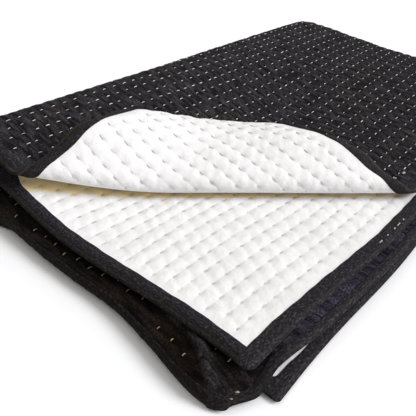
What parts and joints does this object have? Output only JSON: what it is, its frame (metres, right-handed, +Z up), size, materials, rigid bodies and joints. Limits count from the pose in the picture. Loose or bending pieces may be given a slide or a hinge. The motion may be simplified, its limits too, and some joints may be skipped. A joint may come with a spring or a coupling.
{
  "type": "folded quilted throw",
  "caption": "Reversible quilted throw with running-stitch rows and bound edges, folded in quarters with its top corner rolled back to show the light reverse.",
  "frame": {"origin": "centre of the folded stack's box, at the height of the surface that it rests on", "axes": "+X along the stitch rows towards the cross fold, +Y across the rows towards the lengthwise fold, +Z up"},
  "size_m": [0.9878, 0.5966, 0.1405],
  "materials": {
    "face_cloth": "matte black slub cotton",
    "back_cloth": "matte warm white cotton",
    "binding_cloth": "matte black cotton"
  },
  "bodies": {
    "root": {"face_panel": "face_cloth", "back_panel": "back_cloth", "binding_long_a": "binding_cloth", "binding_long_b": "binding_cloth", "binding_short_a": "binding_cloth", "binding_short_b": "binding_cloth"}
  },
  "joints": []
}
